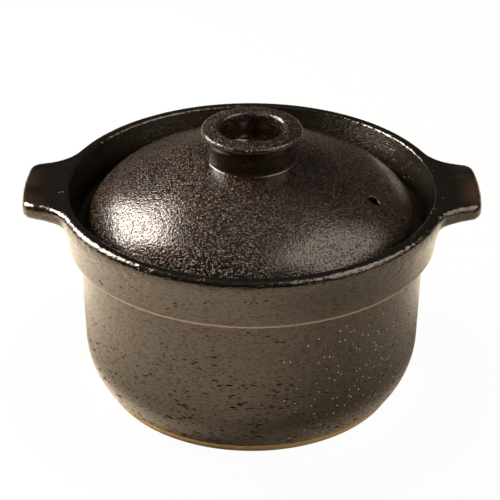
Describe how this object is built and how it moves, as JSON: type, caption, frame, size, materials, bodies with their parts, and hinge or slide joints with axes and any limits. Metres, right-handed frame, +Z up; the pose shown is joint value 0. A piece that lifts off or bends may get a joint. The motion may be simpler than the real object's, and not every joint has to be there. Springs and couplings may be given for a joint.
{
  "type": "clay rice pot",
  "caption": "Deep round clay cooking pot with a wide stepped collar, flat ear handles, a sunk domed outer lid with a hollow ring knob, and a flat inner lid.",
  "frame": {"origin": "middle of the foot, in the plane that it stands on", "axes": "+Z up through the knob, the two ears along X, the steam hole of the outer lid towards +X and a little to -Y"},
  "size_m": [0.246, 0.21, 0.1522],
  "materials": {
    "pot_glaze": "glossy black-brown glaze over coarse clay, bare ochre clay at the foot",
    "lid_glaze": "sandy dark brown glaze with a metallic lustre",
    "inner_glaze": "plain dark satin glaze"
  },
  "bodies": {
    "root": {"pot": "pot_glaze", "outer_lid": "lid_glaze", "inner_lid": "inner_glaze"}
  },
  "joints": []
}
